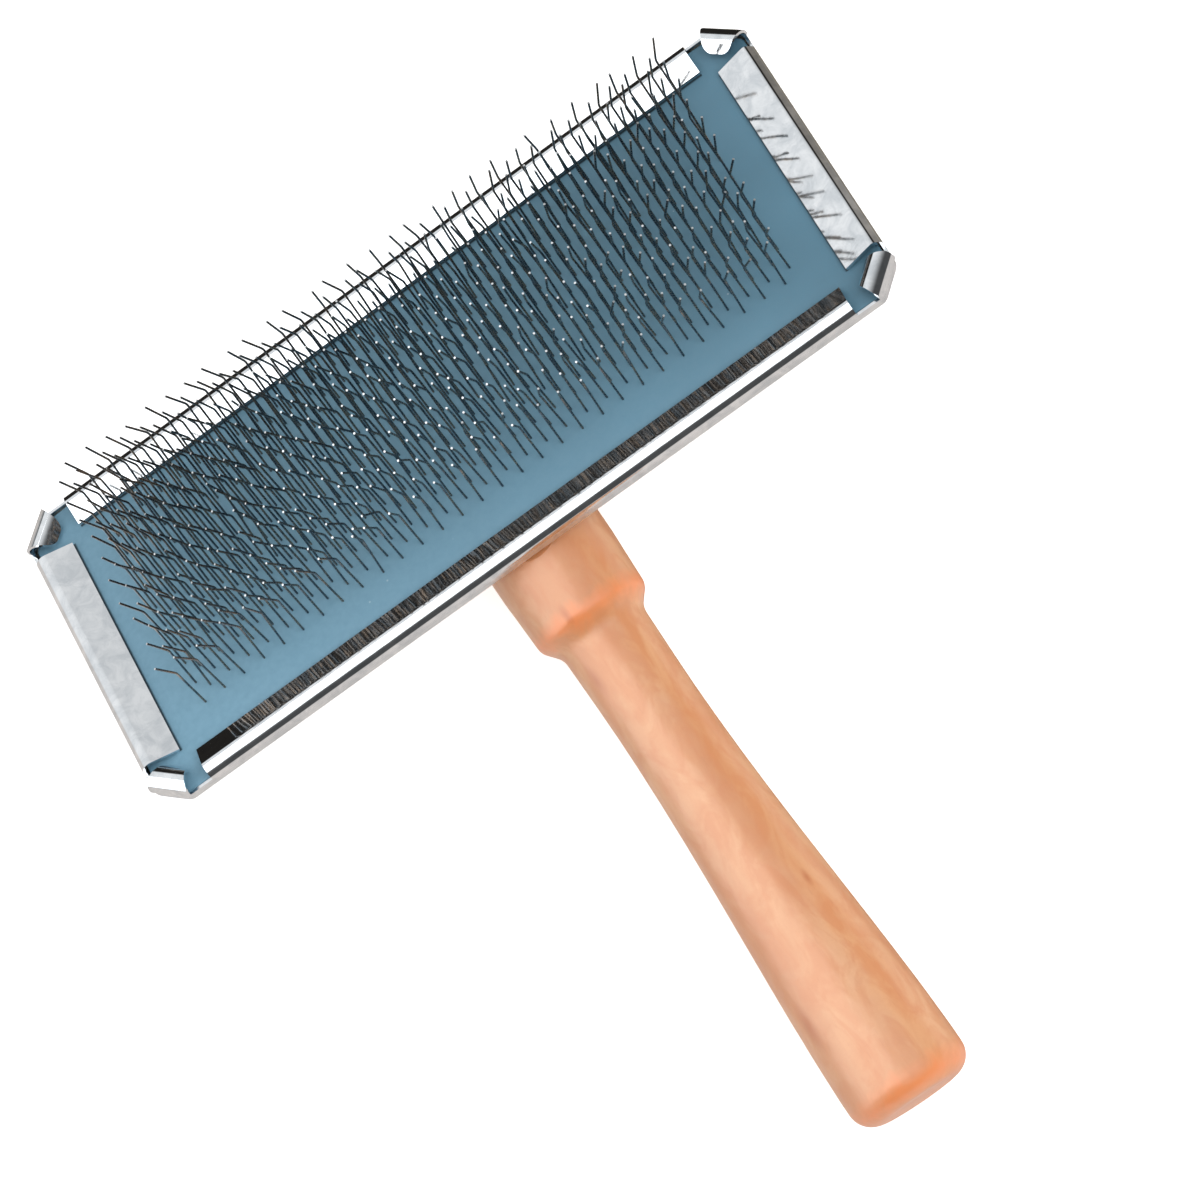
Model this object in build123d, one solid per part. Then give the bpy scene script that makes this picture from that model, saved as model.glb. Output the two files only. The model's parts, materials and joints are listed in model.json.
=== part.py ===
from build123d import *
import math
import os
import random

os.makedirs("parts", exist_ok=True)

# All lengths are in millimetres and all angles in degrees.
#
# The brush is built in the head's own frame: X along the head, +Y away from the
# handle, +Z the way the pins point, and Z = 0 on the back of the tray. At the end
# every piece is laid down as the brush lies on a table, on the far back edge of
# its head and the butt of its handle.

# Head: one sheet of steel, pressed to a tray and folded over the pin cloth
SHEET = 0.5
OPENING_LENGTH = 133.0
OPENING_WIDTH = 52.5
LONG_FLANGE = 6.3
SHORT_FLANGE = 7.2
HEAD_LENGTH = OPENING_LENGTH + 2 * SHORT_FLANGE
HEAD_WIDTH = OPENING_WIDTH + 2 * LONG_FLANGE
HEAD_HEIGHT = 5.55
BACK_RADIUS = 3.0
TRAY_HEIGHT = 3.5
CORNER_CUT = 4.6
CORNER_RADIUS = 1.5

# Fold of each flange: outer bend radius, slope down towards the cloth, length along the wall
LONG_BEND, LONG_SLOPE, LONG_RUN = 2.0, 20.0, 128.0
LEFT_BEND, LEFT_SLOPE = 1.8, 18.0
RIGHT_BEND, RIGHT_SLOPE = 0.9, 15.0
SHORT_RUN = 48.0
FLANGE_EDGE = 3.99

# The right wall leans in over a soft shoulder before its flange
SHOULDER_START, SHOULDER_INSET, SHOULDER_BEND = 4.15, 1.3, 1.0

# Corner ears: bend radius and slope by side (x, y); all are bent from one height
EAR_BENDS = {(-1, 1): (2.3, 60.0), (1, 1): (2.2, 34.0), (-1, -1): (2.3, 58.0), (1, -1): (2.3, 56.0)}
EAR_FOLD = 3.85
EAR_RUN, EAR_DEPTH = 7.6, 4.9
EAR_ROOT = 0.8
EAR_TIP_HALF = 2.2
EAR_TIP_RADIUS = 2.0

# Pin cloth and what lies under it, from the tray's floor up
BOARD_THICKNESS = 1.3
BOARD_INSET = 3.1
CLOTH_INSET = SHEET + 0.35
FOAM_EDGE_HEIGHT = 0.5
CANVAS = 0.4
FACING = 0.7
CROWN = 1.2
CROWN_RUN_X = 18.0
CROWN_RUN_Y = 13.0

# Pins: wire staples in staggered rows
WIRE = 0.38
PIN_PITCH = 4.0
PINS_PER_ROW = 30
ROW_COUNT = 20
ROW_PITCH = 2.12
FIRST_ROW_Y = -19.3
STAGGER = PIN_PITCH / 4
SHANK_LENGTH = 11.7
TIP_LENGTH = 4.6
CROWN_BEND = 0.5
KNEE_BEND = 1.6
KNEE_TURN = 27.0
LEAN_X = 4.0
LEAN_Y = 12.5
FAN_Y = 12.5
HEADING_MID, HEADING_SLOPE, HEADING_CURVE = -12.0, 1.15, -0.006
LEAN_SPREAD = 1.3
KNEE_SPREAD = 3.0
HEADING_SPREAD = 12.0
PIN_SEED = 11

# Handle: turned wood, its axis leaning back from the head, cut flat where it meets the tray
HANDLE_LEAN = 25.0
AXIS_HEIGHT = 3.25
HANDLE_FRONT = -16.0
HANDLE_END = 135.5
COLLAR_RADIUS = 10.55
COLLAR_END, COLLAR_END_RADIUS = 41.6, 10.2
COLLAR_TAPER = 10.0
NECK_START, NECK_RADIUS = 44.6, 7.75
WAIST, WAIST_RADIUS = 54.0, 7.6
GRIP_MID, GRIP_MID_RADIUS = 98.8, 9.23
BUTT_START, BUTT_RADIUS = 129.0, 10.75
TAPER_ROUND = 20.0
SHOULDER_ROUND = 2.8
NECK_ROUND = 3.2
BUTT_ROUND = 4.0
BUTT_TAPER = 0.02

# Screws through the tray's back into the handle's flat
SCREW_RADIUS = 1.5
SCREW_LENGTH = 9.0
SCREW_POINT = 2.5
SCREW_TIP_RADIUS = 0.3
SCREW_HEAD_RADIUS = 2.8
SCREW_HEAD_HEIGHT = 1.3
SCREW_PLACES = [-24.0, -10.0]
RECESS_WIDTH = 0.8
RECESS_LENGTH = 3.0
RECESS_DEPTH = 0.9
HOLE_CLEARANCE = 0.15
BOARD_HOLE_RADIUS = 3.4


def cos(angle):
    return math.cos(math.radians(angle))


def sin(angle):
    return math.sin(math.radians(angle))


def tan(angle):
    return math.tan(math.radians(angle))


# ---------------------------------------------------------------- head shell


def head_plan(inset):
    """Outline of the head, a rectangle with its corners cut at 45 degrees, moved inwards."""
    half_x = HEAD_LENGTH / 2 - inset
    half_y = HEAD_WIDTH / 2 - inset
    cut = CORNER_CUT - inset * (2 - math.sqrt(2))
    corners = [
        (half_x, half_y - cut),
        (half_x - cut, half_y),
        (cut - half_x, half_y),
        (-half_x, half_y - cut),
        (-half_x, cut - half_y),
        (cut - half_x, -half_y),
        (half_x - cut, -half_y),
        (half_x, cut - half_y),
    ]
    return make_face(Polyline(*corners, close=True))


def pan(inset, floor, back_radius, corner_radius):
    """Solid block of the tray's outline with its upright and back edges rounded."""
    block = Pos(0, 0, floor) * extrude(head_plan(inset), TRAY_HEIGHT - floor)
    block = fillet(block.edges().filter_by(Axis.Z), corner_radius)
    return fillet(block.edges().group_by(Axis.Z)[0], back_radius)


def plain_fold(start, width, bend, slope):
    """Outer line of a fold from the wall's top, its bend starting at a height; x is inwards."""
    apex = start + bend * tan((90 + slope) / 2)
    return [(0, TRAY_HEIGHT), (0, apex), (width, apex - width * tan(slope))], [bend]


def shouldered_fold():
    """Outer line of the right fold, which leans in over its shoulder before the flange."""
    apex = FLANGE_EDGE + (SHORT_FLANGE - SHOULDER_INSET) * tan(RIGHT_SLOPE)
    corners = [
        (0, TRAY_HEIGHT),
        (0, SHOULDER_START),
        (SHOULDER_INSET, apex),
        (SHORT_FLANGE, FLANGE_EDGE),
    ]
    return corners, [SHOULDER_BEND, RIGHT_BEND]


def fold(place, run, corners, bends):
    """One folded strip of sheet along a wall. The place's x points inwards and its z along it."""
    outer = FilletPolyline(corners, radius=bends)
    section = make_face(offset(outer, SHEET, side=Side.RIGHT))
    return extrude(place * section, run / 2, both=True)


def wall_plane(x, y, inward):
    """Plane across a wall at a point of its outer face, with its own x axis inwards."""
    inward = Vector(*inward).normalized()
    return Plane(origin=(x, y, 0), x_dir=inward, z_dir=inward.cross(Vector(0, 0, 1)))


def ear(side_x, side_y):
    """Corner tongue: a short fold across the cut corner, trimmed to a rounded tip."""
    x = side_x * (HEAD_LENGTH - CORNER_CUT) / 2
    y = side_y * (HEAD_WIDTH - CORNER_CUT) / 2
    place = wall_plane(x, y, (-side_x, -side_y))
    bend, slope = EAR_BENDS[side_x, side_y]
    tongue = fold(place, EAR_RUN, *plain_fold(EAR_FOLD, EAR_DEPTH, bend, slope))
    half = EAR_RUN / 2
    outline = Polyline(
        (-half, -1),
        (half, -1),
        (half, EAR_ROOT),
        (EAR_TIP_HALF, EAR_DEPTH),
        (-EAR_TIP_HALF, EAR_DEPTH),
        (-half, EAR_ROOT),
        close=True,
    )
    trim = make_face(outline)
    tip = trim.vertices().group_by(Axis.Y)[-1]
    trim = fillet(tip, EAR_TIP_RADIUS)
    turn = math.degrees(math.atan2(side_x, -side_y))
    return tongue & extrude(Pos(x, y, 0) * Rot(Z=turn) * trim, EAR_FOLD + 2 * bend)


def make_head_shell():
    """The whole tray: pan, four flanges and four corner ears, in one sheet."""
    shell = pan(0, 0, BACK_RADIUS, CORNER_RADIUS)
    shell -= pan(SHEET, SHEET, BACK_RADIUS - SHEET, CORNER_RADIUS - SHEET / 2)
    edge_x = HEAD_LENGTH / 2
    edge_y = HEAD_WIDTH / 2
    for side in (-1, 1):
        place = wall_plane(0, side * edge_y, (0, -side))
        start = HEAD_HEIGHT - LONG_BEND
        shell += fold(place, LONG_RUN, *plain_fold(start, LONG_FLANGE, LONG_BEND, LONG_SLOPE))
    left = wall_plane(-edge_x, 0, (1, 0))
    right = wall_plane(edge_x, 0, (-1, 0))
    start = HEAD_HEIGHT - LEFT_BEND
    shell += fold(left, SHORT_RUN, *plain_fold(start, SHORT_FLANGE, LEFT_BEND, LEFT_SLOPE))
    shell += fold(right, SHORT_RUN, *shouldered_fold())
    for side_x in (-1, 1):
        for side_y in (-1, 1):
            shell += ear(side_x, side_y)
    for y in SCREW_PLACES:
        shell -= Pos(0, y, 0) * Cylinder(SCREW_RADIUS + HOLE_CLEARANCE, 4 * SHEET)
    return shell


# ---------------------------------------------------------------- pin cloth and cushion


def crown_rise(x, y):
    """Height of the crowned cushion over its edge, at a point of the opening."""
    from_end = (OPENING_LENGTH / 2 - abs(x)) / CROWN_RUN_X
    from_side = (OPENING_WIDTH / 2 - abs(y)) / CROWN_RUN_Y
    return CROWN * max(0.0, min(1.0, from_end, from_side))


def crowned_block(floor, edge_height):
    """Solid between a flat floor and the crowned top that has the given height at its edge."""
    slab = Pos(0, 0, floor) * extrude(head_plan(CLOTH_INSET), edge_height - floor)
    low = Pos(0, 0, edge_height) * Rectangle(OPENING_LENGTH, OPENING_WIDTH)
    top = Rectangle(OPENING_LENGTH - 2 * CROWN_RUN_X, OPENING_WIDTH - 2 * CROWN_RUN_Y)
    return slab + loft([low, Pos(0, 0, edge_height + CROWN) * top])


BOARD_TOP = SHEET + BOARD_THICKNESS
FOAM_TOP = BOARD_TOP + FOAM_EDGE_HEIGHT
CANVAS_TOP = FOAM_TOP + CANVAS
FACING_TOP = CANVAS_TOP + FACING


def make_stiffener_board():
    """Thin board in the bottom of the tray, with holes that clear the screw heads."""
    board = Pos(0, 0, SHEET) * extrude(head_plan(BOARD_INSET), BOARD_THICKNESS)
    for y in SCREW_PLACES:
        board -= Pos(0, y, SHEET) * Cylinder(BOARD_HOLE_RADIUS, 4 * BOARD_THICKNESS)
    return board


def make_foam_cushion():
    """Soft pad that crowns the cloth and lets the pins give."""
    return crowned_block(BOARD_TOP, FOAM_TOP)


def make_canvas_ply():
    """Woven backing of the cloth, which holds the staples' crowns."""
    return crowned_block(BOARD_TOP, CANVAS_TOP) - make_foam_cushion()


def make_rubber_facing():
    """Top layer of the cloth."""
    return crowned_block(BOARD_TOP, FACING_TOP) - crowned_block(BOARD_TOP, CANVAS_TOP)


# ---------------------------------------------------------------- pins


def shank_direction(y, dice):
    """Way a pin leaves the cloth: pins fan out over the crown of the cushion."""
    field_half = (ROW_COUNT - 1) * ROW_PITCH / 2
    from_middle = (y - FIRST_ROW_Y - field_half) / field_half
    lean_x = LEAN_X + dice.gauss(0, LEAN_SPREAD)
    lean_y = LEAN_Y + FAN_Y * from_middle + dice.gauss(0, LEAN_SPREAD)
    return Vector(math.tan(math.radians(lean_x)), math.tan(math.radians(lean_y)), 1).normalized()


def tip_direction(shank, x, dice):
    """Way a pin points past its knee: towards the handle, turning outwards at both ends."""
    heading = HEADING_MID + HEADING_SLOPE * x + HEADING_CURVE * x * x
    heading += dice.gauss(0, HEADING_SPREAD)
    turn = KNEE_TURN + dice.gauss(0, KNEE_SPREAD)
    level = Vector(sin(heading), -cos(heading), 0)
    across = (level - shank * level.dot(shank)).normalized()
    return shank * cos(turn) + across * sin(turn)


def pin_path(foot, dice):
    """Foot, knee and tip of one pin."""
    shank = shank_direction(foot.Y, dice)
    knee = foot + shank * SHANK_LENGTH
    tip = knee + tip_direction(shank, foot.X, dice) * TIP_LENGTH
    return foot, knee, tip


def staple(x, y, dice):
    """One wire staple: a crown under the canvas and the two bent pins that rise from it."""
    height = FOAM_TOP + crown_rise(x, y) - WIRE / 2
    half = PIN_PITCH / 2
    foot_a, knee_a, tip_a = pin_path(Vector(x - half, y, height), dice)
    foot_b, knee_b, tip_b = pin_path(Vector(x + half, y, height), dice)
    path = FilletPolyline(
        [tip_a, knee_a, foot_a, foot_b, knee_b, tip_b],
        radius=[KNEE_BEND, CROWN_BEND, CROWN_BEND, KNEE_BEND],
    )
    start = Plane(origin=path @ 0, z_dir=path % 0)
    return sweep(start * Circle(WIRE / 2), path=path)


def make_staple_row(row, dice):
    """All the staples of one row. Alternate rows are shifted by half a pitch."""
    y = FIRST_ROW_Y + row * ROW_PITCH
    shift = STAGGER if row % 2 else -STAGGER
    staples = []
    for index in range(PINS_PER_ROW // 2):
        x = (2 * index + 1 - PINS_PER_ROW / 2) * PIN_PITCH + shift
        staples.append(staple(x, y, dice).solid())
    return staples


# ---------------------------------------------------------------- handle and screws


def handle_place():
    """Plane of the turned profile: its x runs down the handle's axis and its y across it."""
    down = Vector(0, -cos(HANDLE_LEAN), -sin(HANDLE_LEAN))
    return Plane(origin=(0, 0, AXIS_HEIGHT), x_dir=down, z_dir=(1, 0, 0))


def make_handle():
    """Turned handle: collar, waist, swelling grip and rounded butt, cut flat for the tray."""
    shoulder = FilletPolyline(
        [
            (HANDLE_FRONT, COLLAR_RADIUS),
            (COLLAR_END - COLLAR_TAPER, COLLAR_RADIUS),
            (COLLAR_END, COLLAR_END_RADIUS),
            (NECK_START, NECK_RADIUS),
            (WAIST, WAIST_RADIUS),
        ],
        radius=[TAPER_ROUND, SHOULDER_ROUND, NECK_ROUND],
    )
    grip = Spline(
        (WAIST, WAIST_RADIUS),
        (GRIP_MID, GRIP_MID_RADIUS),
        (BUTT_START, BUTT_RADIUS),
        tangents=[shoulder % 1, (1, BUTT_TAPER)],
    )
    butt = FilletPolyline(
        [(BUTT_START, BUTT_RADIUS), (HANDLE_END, BUTT_RADIUS), (HANDLE_END, 0)],
        radius=BUTT_ROUND,
    )
    axis_line = Polyline((HANDLE_END, 0), (HANDLE_FRONT, 0), (HANDLE_FRONT, COLLAR_RADIUS))
    profile = make_face(Curve([*shoulder.edges(), grip, *butt.edges(), *axis_line.edges()]))
    place = handle_place()
    turned = revolve(place * profile, Axis(place.origin, place.x_dir), 360)
    above = Pos(0, 0, HANDLE_END) * Box(HANDLE_END, 4 * HANDLE_END, 2 * HANDLE_END)
    wood = turned - above
    for y in SCREW_PLACES:
        wood -= Pos(0, y, 0) * screw_shank()
    return wood


def screw_shank():
    """Shank of a screw and its point, from the back of the tray down."""
    straight = SCREW_LENGTH - SCREW_POINT
    shank = Pos(0, 0, -straight / 2) * Cylinder(SCREW_RADIUS, straight)
    point = Pos(0, 0, -straight - SCREW_POINT / 2) * Rot(X=180)
    return shank + point * Cone(SCREW_RADIUS, SCREW_TIP_RADIUS, SCREW_POINT)


def make_handle_screws():
    """Two pan-head wood screws, heads inside the tray."""
    neck = Pos(0, 0, SHEET / 2) * Cylinder(SCREW_RADIUS, SHEET)
    head = Pos(0, 0, SHEET + SCREW_HEAD_HEIGHT / 2) * Cylinder(SCREW_HEAD_RADIUS, SCREW_HEAD_HEIGHT)
    head = fillet(head.edges().group_by(Axis.Z)[-1], SCREW_HEAD_HEIGHT / 2)
    top = SHEET + SCREW_HEAD_HEIGHT
    for turn in (0, 90):
        head -= Pos(0, 0, top) * Rot(Z=turn) * Box(RECESS_LENGTH, RECESS_WIDTH, 2 * RECESS_DEPTH)
    screw = screw_shank() + neck + head
    return [Pos(0, y, 0) * screw for y in SCREW_PLACES]


# ---------------------------------------------------------------- the brush as it lies


def resting_tilt():
    """Angle of the table to the head's back: the tangent under its far edge and the butt."""
    edge_y = HEAD_WIDTH / 2 - BACK_RADIUS
    along = HANDLE_END - BUTT_ROUND
    below = BUTT_RADIUS - BUTT_ROUND
    butt_y = -along * cos(HANDLE_LEAN) + below * sin(HANDLE_LEAN)
    butt_z = AXIS_HEIGHT - along * sin(HANDLE_LEAN) - below * cos(HANDLE_LEAN)
    run = edge_y - butt_y
    rise = BACK_RADIUS - butt_z
    radius_step = math.asin((BUTT_ROUND - BACK_RADIUS) / math.hypot(run, rise))
    return math.degrees(math.atan2(rise, run) + radius_step)


def make_pieces():
    """Every piece by its node name, as a list of solids in the head's frame."""
    dice = random.Random(PIN_SEED)
    pieces = {
        "head_shell": [make_head_shell()],
        "handle": [make_handle()],
        "handle_screws": make_handle_screws(),
        "stiffener_board": [make_stiffener_board()],
        "foam_cushion": [make_foam_cushion()],
        "canvas_ply": [make_canvas_ply()],
        "rubber_facing": [make_rubber_facing()],
    }
    for row in range(ROW_COUNT):
        pieces[f"staple_row_{row + 1:02d}"] = make_staple_row(row, dice)
    return pieces


def lay_down(pieces):
    """Turn every piece to the table and put the origin under the middle of the brush."""
    tilt = Rot(X=-resting_tilt())
    tilted = {}
    for name, solids in pieces.items():
        tilted[name] = Compound([tilt * solid.solid() for solid in solids])
    box = Compound(list(tilted.values())).bounding_box()
    middle = box.center()
    placed = Pos(-middle.X, -middle.Y, -box.min.Z)
    return placed * tilt, {name: placed * shape for name, shape in tilted.items()}


HEAD_PLACE, BRUSH = lay_down(make_pieces())
for node, shape in BRUSH.items():
    export_step(shape, f"parts/{node}.step")
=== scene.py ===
import json
import math

import bmesh
import bpy
import numpy as np
from mathutils import Matrix, Vector


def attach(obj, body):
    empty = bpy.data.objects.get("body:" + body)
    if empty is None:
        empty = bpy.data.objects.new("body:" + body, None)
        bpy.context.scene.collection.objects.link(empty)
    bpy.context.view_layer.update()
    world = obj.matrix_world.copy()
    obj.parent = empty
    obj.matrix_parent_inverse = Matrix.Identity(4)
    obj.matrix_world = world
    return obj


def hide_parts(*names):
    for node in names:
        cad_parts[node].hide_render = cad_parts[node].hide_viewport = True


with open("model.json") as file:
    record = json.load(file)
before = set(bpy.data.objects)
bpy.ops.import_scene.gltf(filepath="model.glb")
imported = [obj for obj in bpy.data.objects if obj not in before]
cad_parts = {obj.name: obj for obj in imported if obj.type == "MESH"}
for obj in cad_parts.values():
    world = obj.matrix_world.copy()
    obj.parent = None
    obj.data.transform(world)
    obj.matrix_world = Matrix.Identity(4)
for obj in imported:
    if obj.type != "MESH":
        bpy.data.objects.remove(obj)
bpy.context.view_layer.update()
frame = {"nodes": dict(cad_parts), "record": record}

MM = 0.001
BODY = "root"

# ---------------------------------------------------------------- frames
#
# The head's own frame has X along the head, +Y away from the handle, +Z the way
# the pins point, and Z = 0 on the back of the tray, all in millimetres.

BUTT = next(m for m in frame["record"]["mounts"] if m["name"] == "butt_end")
HANDLE_LENGTH = 135.5
HANDLE_LEAN = math.radians(25.0)
AXIS_HEIGHT = 3.25


def frame_matrix(origin, x_axis, y_axis, z_axis):
    """Matrix from a local frame in millimetres to the row frame in metres."""
    columns = Matrix((x_axis, y_axis, z_axis)).transposed()
    return Matrix.Translation(origin) @ columns.to_4x4() @ Matrix.Scale(MM, 4)


# The handle's frame has its Z down the handle's axis from inside the head, and X as the head's.
head_x = Vector((1, 0, 0))
handle_z = Vector(BUTT["axis"]).normalized()
handle_y = handle_z.cross(head_x)
handle_origin = Vector(BUTT["pos_m"]) - handle_z * HANDLE_LENGTH * MM
HANDLE = frame_matrix(handle_origin, head_x, handle_y, handle_z)

# The handle's axis leans down from the head, and starts over the middle of the tray's back.
head_y = -math.cos(HANDLE_LEAN) * handle_z - math.sin(HANDLE_LEAN) * handle_y
head_z = head_x.cross(head_y)
HEAD = frame_matrix(handle_origin - head_z * AXIS_HEIGHT * MM, head_x, head_y, head_z)

# ---------------------------------------------------------------- dimensions, in millimetres

HEAD_LENGTH, HEAD_WIDTH = 147.4, 65.1
OPENING_LENGTH, OPENING_WIDTH = 133.0, 52.5
CORNER_CUT = 4.6
LONG_FLANGE_RUN, SHORT_FLANGE_RUN = 128.0, 48.0
FLANGE_EDGE_Z = 3.99
BOARD_TOP, FOAM_TOP, CANVAS_TOP, FACING_TOP = 1.8, 2.3, 2.7, 3.4
CLOTH_INSET = 0.85
CROWN, CROWN_RUN_X, CROWN_RUN_Y = 1.25, 24.0, 17.0
CORNER_DROOP = 0.3
TUCK, TUCK_RUN = 0.15, 3.0


# ---------------------------------------------------------------- mesh helpers


def link(name, mesh, material):
    """New piece of the brush from a mesh, smooth shaded."""
    piece = bpy.data.objects.new(name, mesh)
    bpy.context.scene.collection.objects.link(piece)
    mesh.materials.append(material)
    for polygon in mesh.polygons:
        polygon.use_smooth = True
    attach(piece, BODY)
    return piece


def ease(t):
    """0 to 1, level at 1 and steepest at 0."""
    t = max(0.0, min(1.0, t))
    return 1 - (1 - t) ** 2


def smooth(t):
    """0 to 1, level at both ends."""
    t = max(0.0, min(1.0, t))
    return t * t * (3 - 2 * t)


def crown_rise(x, y):
    """Height of the crowned cushion over its edge."""
    from_end = (OPENING_LENGTH / 2 - abs(x)) / CROWN_RUN_X
    from_side = (OPENING_WIDTH / 2 - abs(y)) / CROWN_RUN_Y
    return CROWN * ease(from_end) * ease(from_side)


def corner_droop(x, y):
    """How far the cloth sinks where no flange holds it, in the corners."""
    past_cut = abs(x) + abs(y) - (HEAD_LENGTH + HEAD_WIDTH) / 2 + CORNER_CUT
    return CORNER_DROOP * smooth((past_cut + 7.0) / 7.0)


def tuck(x, y):
    """How far the cloth is pressed down under the flanges and just inside them."""
    inside = min(OPENING_LENGTH / 2 - abs(x), OPENING_WIDTH / 2 - abs(y))
    return TUCK * (1 - smooth(inside / TUCK_RUN))


def layer_top(level):
    """Height of a layer's upper side at a point."""
    return lambda x, y: level + crown_rise(x, y) - corner_droop(x, y) - tuck(x, y)


def spread(half, step, edge):
    """Places from -half to half, a step apart, with close ones by the ends for a rounded edge."""
    inner = half - edge[-1]
    count = max(2, round(2 * inner / step))
    middle = [-inner + 2 * inner * i / count for i in range(count + 1)]
    ends = [half - e for e in reversed(edge[:-1])]
    return [-e for e in reversed(ends)] + middle + ends


def cloth_layer(name, bottom, top, inset, step, material, rounding=0.25):
    """Closed sheet or pad with the head's cut-cornered outline, between two height functions."""
    half_x, half_y = HEAD_LENGTH / 2 - inset, HEAD_WIDTH / 2 - inset
    cut = CORNER_CUT - inset * (2 - math.sqrt(2))
    edge = [rounding * (1 - math.cos(math.radians(a))) for a in (0, 30, 60, 90)]
    xs = spread(1.0, step / half_x, [e / half_x for e in edge])
    ys = spread(half_y, step, edge)
    mesh = bmesh.new()
    sides = []
    for height, way in ((top, -1), (bottom, 1)):
        grid = []
        for y in ys:
            reach = half_x - max(0.0, abs(y) - (half_y - cut))
            row = []
            for u in xs:
                x = u * reach
                from_edge = min(reach - abs(x), half_y - abs(y), rounding)
                drop = rounding - math.sqrt(max(0.0, rounding**2 - (rounding - from_edge) ** 2))
                row.append(mesh.verts.new(HEAD @ Vector((x, y, height(x, y) + way * drop))))
            grid.append(row)
        sides.append(grid)
    upper, lower = sides
    for grid, flip in ((upper, False), (lower, True)):
        for j in range(len(ys) - 1):
            for i in range(len(xs) - 1):
                ring = [grid[j][i], grid[j][i + 1], grid[j + 1][i + 1], grid[j + 1][i]]
                mesh.faces.new(reversed(ring) if flip else ring)
    last_i, last_j = len(xs) - 1, len(ys) - 1
    rim = [(0, i) for i in range(last_i)] + [(j, last_i) for j in range(last_j)]
    rim += [(last_j, i) for i in range(last_i, 0, -1)] + [(j, 0) for j in range(last_j, 0, -1)]
    for a, b in zip(rim, rim[1:] + rim[:1]):
        ring = [upper[a[0]][a[1]], lower[a[0]][a[1]], lower[b[0]][b[1]], upper[b[0]][b[1]]]
        mesh.faces.new(ring)
    data = bpy.data.meshes.new(name)
    mesh.to_mesh(data)
    mesh.free()
    return link(name, data, material)


# ---------------------------------------------------------------- material helpers


class Shader:
    """A node material that is built up from one Principled shader."""

    def __init__(self, name, **constants):
        self.material = bpy.data.materials.new(name)
        self.material.use_nodes = True
        self.tree = self.material.node_tree
        self.surface = self.tree.nodes["Principled BSDF"]
        self.place = self.node("ShaderNodeTexCoord").outputs["Object"]
        for socket, value in constants.items():
            self.surface.inputs[socket.replace("_", " ")].default_value = value

    def node(self, kind, inputs=None, **settings):
        made = self.tree.nodes.new(kind)
        for name, value in settings.items():
            setattr(made, name, value)
        for socket, value in (inputs or {}).items():
            if isinstance(value, bpy.types.NodeSocket):
                self.tree.links.new(value, made.inputs[socket])
            else:
                made.inputs[socket].default_value = value
        return made

    def drive(self, socket, value):
        self.tree.links.new(value, self.surface.inputs[socket])

    def local(self, matrix, stretch=(1, 1, 1)):
        """Coordinates in millimetres in a local frame, divided by stretch along each axis."""
        place, turn, _ = matrix.decompose()
        frame_place = {"Location": place, "Rotation": turn.to_euler(), "Scale": (MM,) * 3}
        into = self.node(
            "ShaderNodeMapping", {"Vector": self.place, **frame_place}, vector_type="TEXTURE"
        )
        return self.vector("MULTIPLY", into.outputs[0], tuple(1 / s for s in stretch))

    def noise(self, place, scale, detail=2.0, rough=0.5, distortion=0.0):
        """Noise value of about 0 to 1; scale is features per unit of the coordinates."""
        inputs = {"Vector": place, "Scale": scale, "Detail": detail}
        inputs |= {"Roughness": rough, "Distortion": distortion}
        return self.node("ShaderNodeTexNoise", inputs).outputs["Fac"]

    def spots(self, place, scale):
        """Distance from scattered points; scale is points per unit of the coordinates."""
        inputs = {"Vector": place, "Scale": scale}
        return self.node("ShaderNodeTexVoronoi", inputs).outputs["Distance"]

    def fit(self, value, low, high, to_low=0.0, to_high=1.0):
        """Value from one range to another, held inside it."""
        inputs = {"Value": value, "From Min": low, "From Max": high}
        inputs |= {"To Min": to_low, "To Max": to_high}
        return self.node("ShaderNodeMapRange", inputs).outputs[0]

    def math(self, operation, a, b=0.0):
        return self.node("ShaderNodeMath", {0: a, 1: b}, operation=operation).outputs[0]

    def vector(self, operation, a, b=(0, 0, 0), output="Vector"):
        made = self.node("ShaderNodeVectorMath", {0: a, 1: b}, operation=operation)
        return made.outputs[output]

    def axes(self, place):
        """Outputs X, Y and Z of a vector."""
        return self.node("ShaderNodeSeparateXYZ", {0: place}).outputs

    def mix(self, amount, a, b):
        """Colour between a and b."""
        made = self.node("ShaderNodeMix", data_type="RGBA")
        for socket, value in zip((made.inputs[0], made.inputs[6], made.inputs[7]), (amount, a, b)):
            if isinstance(value, bpy.types.NodeSocket):
                self.tree.links.new(value, socket)
            else:
                socket.default_value = value
        return made.outputs[2]

    def bump(self, height, distance, under=None):
        """Bump of a height from 0 to 1, distance millimetres deep, over an earlier bump."""
        inputs = {"Height": height, "Distance": distance * MM, "Strength": 1.0}
        if under is not None:
            inputs["Normal"] = under
        return self.node("ShaderNodeBump", inputs).outputs[0]


def rgb(red, green, blue):
    """Linear colour from a display colour of 0 to 255."""
    return tuple((c / 255) ** 2.2 for c in (red, green, blue)) + (1.0,)


# ---------------------------------------------------------------- materials


STEEL_STAINED, STEEL_CLEAN = (0.66, 0.70, 0.735, 1), (0.86, 0.89, 0.915, 1)
WIRE_BLUE, WIRE_BRONZE = (0.145, 0.165, 0.18, 1), (0.34, 0.265, 0.205, 1)
SIDE_TOP = 3.6


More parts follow.
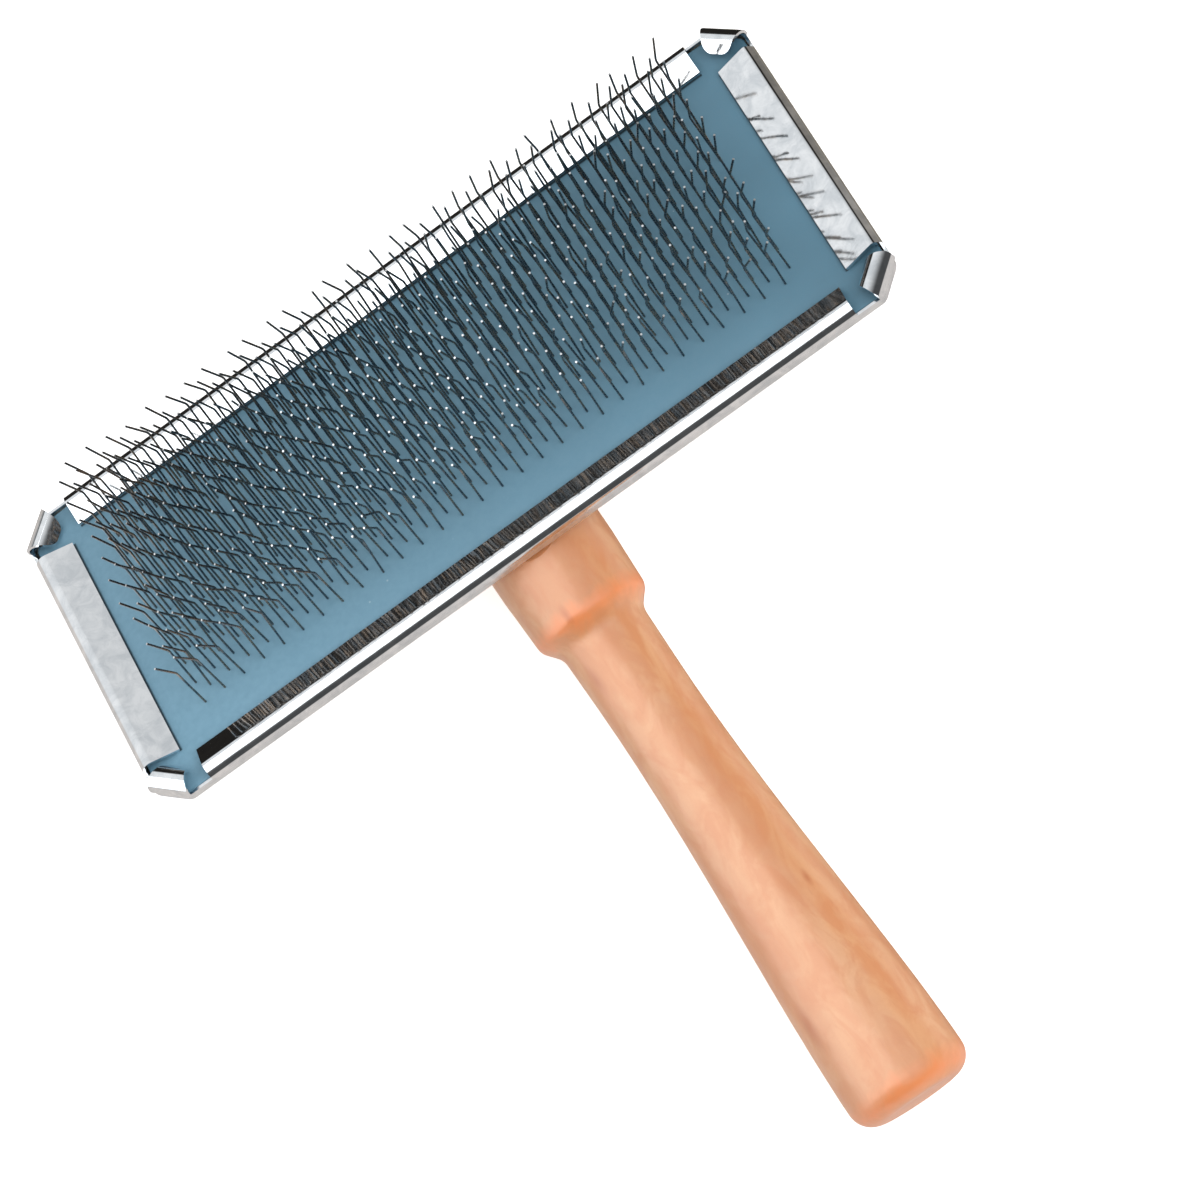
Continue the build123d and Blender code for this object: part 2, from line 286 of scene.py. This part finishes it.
def polished_steel():
    """Bright tinned sheet with cloudy stains, a slight roll to its surface and fine scratches
    along it. Below the folds, on the sides and back, the sheet is duller."""
    s = Shader("bright_steel", Metallic=1.0, Roughness=0.1)
    at = s.local(HEAD)
    scratches = s.noise(s.local(HEAD, (40, 1.2, 40)), 3.0, 3.0, 0.6)
    cloud = s.noise(at, 0.09, 3.0, 0.6)
    stain = s.noise(at, 0.3, 4.0, 0.6, 0.6)
    s.drive("Base Color", s.mix(s.fit(stain, 0.35, 0.65), STEEL_STAINED, STEEL_CLEAN))
    uneven = s.math("ADD", s.math("MULTIPLY", cloud, 0.6), s.math("MULTIPLY", scratches, 0.4))
    dull = s.fit(s.axes(at)["Z"], SIDE_TOP - 0.6, SIDE_TOP, 0.3, 0.0)
    s.drive("Roughness", s.math("ADD", s.fit(uneven, 0.3, 0.75, 0.035, 0.12), dull))
    wave = s.bump(s.noise(at, 0.05, 1.0, 0.4), 0.3)
    roll = s.bump(s.noise(at, 0.16, 1.0, 0.4), 0.05, under=wave)
    s.drive("Normal", s.bump(scratches, 0.0015, under=roll))
    return s.material


def pin_steel():
    """Drawn wire, dark blue-grey with bronze patches and faint draw marks."""
    s = Shader("pin_wire", Metallic=1.0, Roughness=0.28)
    at = s.local(HEAD)
    tint = s.noise(at, 0.35, 2.0)
    s.drive("Base Color", s.mix(s.fit(tint, 0.42, 0.66), WIRE_BLUE, WIRE_BRONZE))
    s.drive("Roughness", s.fit(s.noise(at, 4.0, 2.0), 0.3, 0.7, 0.2, 0.36))
    return s.material


def cut_steel():
    """Bright sheared ends of the pins."""
    s = Shader("pin_cut_end", Metallic=1.0, Roughness=0.45)
    grain = s.noise(s.local(HEAD), 12.0, 2.0)
    s.drive("Base Color", s.mix(grain, (0.60, 0.62, 0.63, 1), (0.76, 0.78, 0.79, 1)))
    s.drive("Roughness", s.fit(grain, 0.3, 0.7, 0.4, 0.55))
    return s.material


# Facing colours for the lit left end and the shaded right end: a painted light falloff along the
# head.
RUBBER_LIT_LEFT, RUBBER_SHADED_RIGHT = rgb(122, 165, 188), rgb(79, 114, 132)
RUBBER_MOTTLED, RUBBER_GRAINED = rgb(106, 150, 173), rgb(92, 133, 154)
# RUBBER_SHADE is the colour of the painted shadow line beside the flanges.
RUBBER_DUST, RUBBER_SHADE = rgb(175, 195, 205), rgb(22, 30, 34)


def rubber():
    """Matt grey-blue facing with faint mottling, dust specks and a fine tooth, and painted
    light: paler at the left as the light falls off, and a painted shadow line along the edges of
    the flanges."""
    s = Shader("blue_rubber", Roughness=0.62, Specular_IOR_Level=0.4)
    at = s.local(HEAD)
    broad = s.noise(at, 0.05, 2.0)
    fine = s.noise(at, 0.9, 4.0, 0.6)
    across, along = s.axes(at)[:2]
    # Painted light falloff: lighter at the left end of the head and darker at the right.
    painted_falloff = s.fit(across, -HEAD_LENGTH / 2, HEAD_LENGTH / 2)
    colour = s.mix(painted_falloff, RUBBER_LIT_LEFT, RUBBER_SHADED_RIGHT)
    colour = s.mix(s.fit(broad, 0.3, 0.7, 0.0, 0.3), colour, RUBBER_MOTTLED)
    colour = s.mix(s.fit(fine, 0.35, 0.75, 0.0, 0.25), colour, RUBBER_GRAINED)
    speck = s.fit(s.spots(at, 0.16), 0.02, 0.035, 1.0, 0.0)
    colour = s.mix(s.math("MULTIPLY", speck, 0.5), colour, RUBBER_DUST)
    # Painted shade: a dark line on the cloth along the inner edges of the flanges, where the gap
    # under them lies in shadow.
    far_across, far_along = s.math("ABSOLUTE", across), s.math("ABSOLUTE", along)
    painted_flange_shade = []
    for toward, edge, other, reach in (
        (far_across, OPENING_LENGTH / 2, far_along, SHORT_FLANGE_RUN / 2),
        (far_along, OPENING_WIDTH / 2, far_across, LONG_FLANGE_RUN / 2),
    ):
        away = s.math("ABSOLUTE", s.math("SUBTRACT", toward, edge))
        line = s.fit(away, 0.1, 0.4, 1.0, 0.0)
        painted_flange_shade.append(s.math("MULTIPLY", line, s.math("LESS_THAN", other, reach)))
    colour = s.mix(s.math("MULTIPLY", s.math("MAXIMUM", *painted_flange_shade), 0.85), colour, RUBBER_SHADE)
    s.drive("Base Color", colour)
    s.drive("Roughness", s.fit(fine, 0.3, 0.7, 0.52, 0.7))
    tooth = s.bump(s.noise(at, 7.0, 3.0), 0.02)
    s.drive("Normal", s.bump(broad, 0.1, under=tooth))
    return s.material


# Places of pin knots and dark flecks in the wood, in the handle's frame, with their radii
KNOTS = [
    ((-4.5, 6.4, 51.5), 1.5),
    ((-7.0, 7.0, 117.0), 1.8),
    ((-2.0, 9.9, 40.5), 0.8),
    ((6.0, 7.0, 97.0), 0.7),
]
KNOT_SQUEEZE = (1, 1, 0.4)
SHOULDER_AT, BUTT_AT = 41.5, 134.0
WOOD_PALE, WOOD_WARM, WOOD_CLOUD = rgb(220, 161, 115), rgb(210, 143, 97), rgb(207, 131, 82)
WOOD_LINE, WOOD_GRIT, WOOD_FLECK = rgb(206, 136, 94), rgb(196, 126, 84), rgb(186, 116, 76)
WOOD_LACQUERED, WOOD_KNOT = rgb(232, 136, 80), rgb(178, 92, 46)


def lacquered_beech():
    """Pale beech along the handle's axis, cloudy, with faint short flecks and a few pin knots,
    under clear lacquer that has gathered, and gone orange, in the shoulder and round the butt."""
    s = Shader(
        "lacquered_wood",
        Specular_IOR_Level=0.05,
        Coat_Weight=1.0,
        Coat_IOR=1.85,
        Coat_Roughness=0.36,
    )
    at = s.local(HANDLE)
    drift = s.noise(s.local(HANDLE, (1, 1, 5)), 0.1, 2.0, 0.5, 0.8)
    blotch = s.noise(s.local(HANDLE, (1, 1, 2)), 0.2, 3.0, 0.6, 1.2)
    lines = s.noise(s.local(HANDLE, (1, 1, 18)), 0.9, 4.0, 0.65)
    flecks = s.noise(s.local(HANDLE, (0.45, 0.45, 3.0)), 1.1, 1.0)
    grit = s.noise(at, 2.2, 3.0, 0.7)
    colour = s.mix(s.fit(drift, 0.4, 0.6), WOOD_PALE, WOOD_WARM)
    colour = s.mix(s.fit(blotch, 0.4, 0.6, 0.0, 0.65), colour, WOOD_CLOUD)
    colour = s.mix(s.fit(lines, 0.42, 0.75, 0.0, 0.22), colour, WOOD_LINE)
    colour = s.mix(s.fit(grit, 0.4, 0.7, 0.0, 0.12), colour, WOOD_GRIT)
    colour = s.mix(s.fit(flecks, 0.68, 0.76, 0.0, 0.16), colour, WOOD_FLECK)
    along = s.axes(at)["Z"]
    for place, width in ((SHOULDER_AT, 5.0), (BUTT_AT, 6.0)):
        away = s.math("ABSOLUTE", s.math("SUBTRACT", along, place))
        ring = s.fit(s.math("ADD", away, s.math("MULTIPLY", blotch, 5.0)), 2.4, width, 0.9, 0.0)
        colour = s.mix(ring, colour, WOOD_LACQUERED)
    for place, radius in KNOTS:
        from_knot = s.vector("MULTIPLY", s.vector("SUBTRACT", at, place), KNOT_SQUEEZE)
        away = s.vector("LENGTH", from_knot, output="Value")
        wobble = s.math("ADD", away, s.math("MULTIPLY", blotch, radius))
        dark = s.fit(wobble, radius * 0.5, radius * 1.6, 0.7, 0.0)
        colour = s.mix(dark, colour, WOOD_KNOT)
    s.drive("Base Color", colour)
    s.drive("Roughness", s.fit(lines, 0.3, 0.7, 0.42, 0.58))
    s.drive("Normal", s.bump(lines, 0.015))
    s.drive("Coat Normal", s.bump(s.noise(at, 0.13, 3.0, 0.55), 0.6))
    return s.material


def plain_steel():
    """Zinc-plated screw steel, slightly cloudy."""
    s = Shader("screw_steel", Metallic=1.0, Roughness=0.3)
    at = s.local(HEAD)
    cloud = s.noise(at, 1.2, 3.0)
    s.drive("Base Color", s.mix(cloud, (0.55, 0.55, 0.54, 1), (0.68, 0.68, 0.66, 1)))
    s.drive("Roughness", s.fit(cloud, 0.3, 0.7, 0.22, 0.4))
    return s.material


def hardboard():
    """Pressed brown board with short fibres."""
    s = Shader("hardboard", Roughness=0.8)
    at = s.local(HEAD, (3, 1, 1))
    fibres = s.noise(at, 2.2, 4.0, 0.7, 1.0)
    s.drive("Base Color", s.mix(fibres, rgb(118, 84, 54), rgb(160, 122, 84)))
    s.drive("Normal", s.bump(fibres, 0.05))
    return s.material


def foam():
    """Cream open-cell foam."""
    s = Shader("foam", Roughness=0.95)
    cells = s.spots(s.local(HEAD), 2.4)
    s.drive("Base Color", s.mix(s.fit(cells, 0.1, 0.6), rgb(196, 186, 160), rgb(232, 224, 202)))
    s.drive("Normal", s.bump(cells, 0.15))
    return s.material


def canvas():
    """Plain cotton weave, its threads 0.6 mm apart."""
    s = Shader("canvas", Roughness=0.9, Sheen_Weight=0.2)
    at = s.local(HEAD)
    threads = []
    for direction in ("X", "Y"):
        threads.append(
            s.node(
                "ShaderNodeTexWave",
                {"Vector": at, "Scale": 0.52, "Distortion": 0.4, "Detail": 1.0},
                wave_type="BANDS",
                bands_direction=direction,
            ).outputs["Fac"]
        )
    weave = s.math("MAXIMUM", *threads)
    s.drive("Base Color", s.mix(weave, rgb(150, 138, 112), rgb(205, 193, 165)))
    s.drive("Normal", s.bump(weave, 0.08))
    return s.material


STEEL = polished_steel()
WIRE = pin_steel()

# ---------------------------------------------------------------- CAD nodes that stay


def dress(node, material):
    """Give a CAD node its finish."""
    data = frame["nodes"][node].data
    data.materials.clear()
    data.materials.append(material)


dress("head_shell", STEEL)
dress("handle", lacquered_beech())
dress("handle_screws", plain_steel())
dress("stiffener_board", hardboard())

# A face is flat when each of its corners' normals is this close to its own, as a cosine
FLAT_ENOUGH = 0.9995
CUT_END = cut_steel()


def brighten_ends(data):
    """Give the flat faces of a staple row, which are its cut ends, the second material."""
    corner = np.empty(len(data.loops) * 3, np.float32)
    data.corner_normals.foreach_get("vector", corner)
    face = np.empty(len(data.polygons) * 3, np.float32)
    data.polygons.foreach_get("normal", face)
    sides = np.empty(len(data.polygons), np.int32)
    data.polygons.foreach_get("loop_total", sides)
    owner = np.repeat(np.arange(len(sides)), sides)
    along = np.sum(corner.reshape(-1, 3) * face.reshape(-1, 3)[owner], axis=1)
    flattest = np.ones(len(sides))
    np.minimum.at(flattest, owner, along)
    data.polygons.foreach_set("material_index", (flattest > FLAT_ENOUGH).astype(np.int32))


for node in frame["nodes"]:
    if node.startswith("staple_row_"):
        dress(node, WIRE)
        frame["nodes"][node].data.materials.append(CUT_END)
        brighten_ends(frame["nodes"][node].data)

# ---------------------------------------------------------------- cushion and cloth

CLOTH_GAP = 0.01
facing = cloth_layer(
    "pin_cloth_facing",
    layer_top(CANVAS_TOP + CLOTH_GAP),
    layer_top(FACING_TOP),
    CLOTH_INSET,
    0.6,
    rubber(),
)
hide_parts("rubber_facing")
canvas_sheet = cloth_layer(
    "pin_cloth_canvas",
    layer_top(FOAM_TOP + CLOTH_GAP),
    layer_top(CANVAS_TOP),
    CLOTH_INSET,
    1.0,
    canvas(),
    rounding=0.12,
)
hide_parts("canvas_ply")
pad = cloth_layer(
    "cushion_pad",
    lambda x, y: BOARD_TOP + CLOTH_GAP,
    layer_top(FOAM_TOP),
    CLOTH_INSET + 0.3,
    1.0,
    foam(),
    rounding=0.12,
)
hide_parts("foam_cushion")

# ---------------------------------------------------------------- stage


TABLE_RADIUS = 3.0
TABLE_GLOW = 0.62


def make_floor():
    """Plain white table, level with the brush's lowest point."""
    mesh = bmesh.new()
    bmesh.ops.create_circle(mesh, cap_ends=True, radius=TABLE_RADIUS, segments=96)
    data = bpy.data.meshes.new("table_top")
    mesh.to_mesh(data)
    mesh.free()
    floor = bpy.data.objects.new("table_top", data)
    bpy.context.scene.collection.objects.link(floor)
    s = Shader("table_white", Roughness=0.9, Specular_IOR_Level=0.1)
    shade = s.noise(s.place, 3.0)
    s.drive("Base Color", s.mix(shade, (0.93, 0.93, 0.93, 1), (0.95, 0.95, 0.95, 1)))
    s.surface.inputs["Emission Color"].default_value = (1, 1, 1, 1)
    s.surface.inputs["Emission Strength"].default_value = TABLE_GLOW
    data.materials.append(s.material)
    floor.visible_glossy = False


def soft_light(name, place, x_axis, y_axis, size, radiance, mirrored=True, lights=True):
    """Rectangular soft light that shines down its own z. It shows in reflections if mirrored,
    and it lights matt surfaces if lights."""
    light = bpy.data.lights.new(name, "AREA")
    light.shape = "RECTANGLE"
    light.size, light.size_y = size
    light.energy = radiance * math.pi * light.size * light.size_y
    lamp = bpy.data.objects.new(name, light)
    bpy.context.scene.collection.objects.link(lamp)
    z_axis = Vector(x_axis).cross(Vector(y_axis))
    turn = Matrix((x_axis, y_axis, z_axis)).transposed().to_4x4()
    lamp.matrix_world = Matrix.Translation(place) @ turn
    lamp.visible_glossy = mirrored
    lamp.visible_diffuse = lights


def make_lights():
    """A bright panel over the left and a window at the left, which the steel and the lacquer
    mirror, and broad light from the front right and from the right."""
    level = (1, 0, 0), (0, 1, 0)
    upright = (0, -1, 0), (0, 0, 1)
    soft_light("panel", (-0.585, 0.24, 1.15), *level, (1.43, 1.72), 1.6, lights=False)
    soft_light("window", (-0.62, -0.05, 0.33), *upright, (0.8, 0.54), 1.5, lights=False)
    soft_light("key", (0.62, -0.62, 1.06), *level, (1.4, 1.4), 2.5, mirrored=False)
    soft_light("fill_right", (0.9, -0.05, 0.8), *level, (0.9, 1.1), 1.4, mirrored=False)


# The surround is a white studio, lighter at the back left and dark behind the camera's side.
# Below the horizon it is the pale table, but tan at the back right. A low dark screen stands at
# the back and right, which draws the dark outlines round the polished sheet.
BACK = Vector((-0.5, 0.7, 0.5)).normalized()
SURROUND_DARK, SURROUND_LIGHT = 0.08, 0.92
TABLE_PALE = (0.74, 0.68, 0.64, 1)
TABLE_TAN = (0.25, 0.22, 0.175, 1)
SCREEN_DARK = (0.02, 0.018, 0.016, 1)
SCREEN_TOP, SCREEN_BLUR = 0.27, 0.05
HORIZON_BLUR = 0.06


def make_world():
    """Surround that the steel mirrors, painted by direction."""
    world = bpy.data.worlds.new("studio")
    bpy.context.scene.world = world
    world.use_nodes = True
    nodes, links = world.node_tree.nodes, world.node_tree.links
    at = nodes.new("ShaderNodeTexCoord").outputs["Generated"]

    def ramp(direction, low, high, to_low=0.0, to_high=1.0):
        """Smooth step over how far a ray points in a direction."""
        toward = nodes.new("ShaderNodeVectorMath")
        toward.operation = "DOT_PRODUCT"
        toward.inputs[1].default_value = direction
        links.new(at, toward.inputs[0])
        level = nodes.new("ShaderNodeMapRange")
        level.interpolation_type = "SMOOTHSTEP"
        sockets = ("From Min", "From Max", "To Min", "To Max")
        for socket, number in zip(sockets, (low, high, to_low, to_high)):
            level.inputs[socket].default_value = number
        links.new(toward.outputs["Value"], level.inputs["Value"])
        return level.outputs[0]

    def blend(amount, first, second):
        """Colour between the first and the second."""
        mix = nodes.new("ShaderNodeMix")
        mix.data_type = "RGBA"
        links.new(amount, mix.inputs[0])
        for socket, value in ((mix.inputs[6], first), (mix.inputs[7], second)):
            if isinstance(value, bpy.types.NodeSocket):
                links.new(value, socket)
            else:
                socket.default_value = value
        return mix.outputs[2]

    table = blend(ramp((0, 1, 0), -0.1, 0.1), TABLE_PALE, TABLE_TAN)
    table = blend(ramp((-1, 0, 0), -0.05, 0.1), table, TABLE_PALE)
    table = blend(ramp((1, 0, 0), 0.7, 0.9), table, TABLE_PALE)
    above = ramp((0, 0, 1), -HORIZON_BLUR, HORIZON_BLUR)
    light = ramp(BACK, -0.15, 1.0, SURROUND_DARK, SURROUND_LIGHT)
    room = blend(above, table, light)
    behind = nodes.new("ShaderNodeMath")
    behind.operation = "MULTIPLY"
    links.new(ramp((0, 1, 0), 0.45, 0.7), behind.inputs[0])
    links.new(ramp((1, 0, 0), -0.5, -0.3), behind.inputs[1])
    over = ramp((0, 0, 1), SCREEN_TOP - SCREEN_BLUR, SCREEN_TOP + SCREEN_BLUR)
    room = blend(behind.outputs[0], room, blend(over, SCREEN_DARK, light))
    links.new(room, nodes["Background"].inputs["Color"])


# The camera stands nearly over the head, a little to the handle's side, and looks down at it.
# Its angles are in the head's frame: down from the head's plane, and from +Y towards -X.
AIM = Vector((5.35, -48.76, FLANGE_EDGE_Z))
DISTANCE = 948.2
LOOK_DOWN = math.radians(53.58)
LOOK_ACROSS = math.radians(12.24)
ROLL = math.radians(-45.50)
LENS = 180.0
SENSOR = 36.0


def make_camera():
    """Camera at the photo's viewing angle."""
    turn = HEAD.to_3x3().normalized()
    level = Vector((-math.sin(LOOK_ACROSS), math.cos(LOOK_ACROSS), 0))
    forward = level * math.cos(LOOK_DOWN) - Vector((0, 0, math.sin(LOOK_DOWN)))
    right = forward.cross(Vector((0, 0, 1))).normalized()
    right = turn @ (Matrix.Rotation(-ROLL, 3, forward) @ right)
    forward = turn @ forward
    up = right.cross(forward)
    data = bpy.data.cameras.new("camera")
    data.lens, data.sensor_width = LENS, SENSOR
    data.clip_start, data.clip_end = 0.05, 20.0
    camera = bpy.data.objects.new("camera", data)
    bpy.context.scene.collection.objects.link(camera)
    place = HEAD @ AIM - forward * DISTANCE * MM
    facing_back = Matrix((right, up, -forward)).transposed().to_4x4()
    camera.matrix_world = Matrix.Translation(place) @ facing_back
    bpy.context.scene.camera = camera


make_floor()
make_world()
make_lights()
make_camera()
bpy.context.scene.view_settings.view_transform = "Standard"
